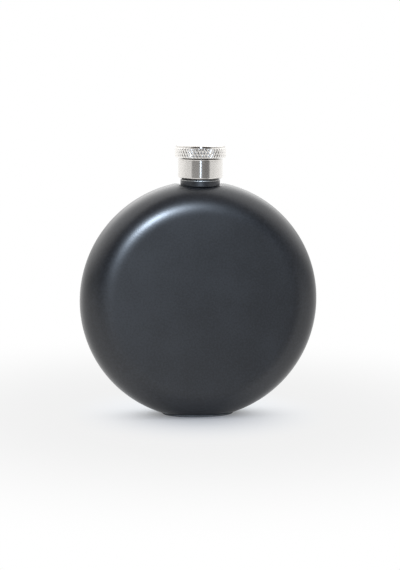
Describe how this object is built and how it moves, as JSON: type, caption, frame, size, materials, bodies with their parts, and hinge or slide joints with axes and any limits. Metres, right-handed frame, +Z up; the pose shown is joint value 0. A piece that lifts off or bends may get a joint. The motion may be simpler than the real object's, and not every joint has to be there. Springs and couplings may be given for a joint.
{
  "type": "round hip flask",
  "caption": "Round, flat-faced pocket flask with a rounded rim, an oval foot to stand on and a threaded neck closed by a knurled screw cap.",
  "frame": {"origin": "middle of the foot plate's underside, on the surface the flask stands on", "axes": "+Z up through the neck and cap, -Y towards the front face, +X to the right seen from the front"},
  "size_m": [0.1, 0.026, 0.1133],
  "materials": {
    "black_coat": "satin black powder coat on stainless steel sheet",
    "polished_steel": "polished stainless steel",
    "liner_plastic": "natural moulded plastic",
    "silicone": "soft pale silicone"
  },
  "bodies": {
    "flask": {"front_shell": "black_coat", "rear_shell": "black_coat", "foot_plate": "black_coat", "neck": "black_coat"},
    "seal": {"cap_seal": "silicone"},
    "cap": {"cap_liner": "liner_plastic", "cap_skirt": "polished_steel", "cap_head": "polished_steel"}
  },
  "joints": [
    {"name": "cap_lift", "type": "slide", "parent": "flask", "child": "seal", "axis": [0, 0, 1], "range_m": [0, 0.00613]},
    {"name": "cap_turn", "type": "hinge", "parent": "seal", "child": "cap", "pos_m": [0, 0, 0.1055], "axis": [0, 0, 1], "range_deg": [0, 1260]}
  ],
  "couplings": [
    {"joint": "cap_lift", "follows": "cap_turn", "m_per_rad": 0.00027852}
  ]
}
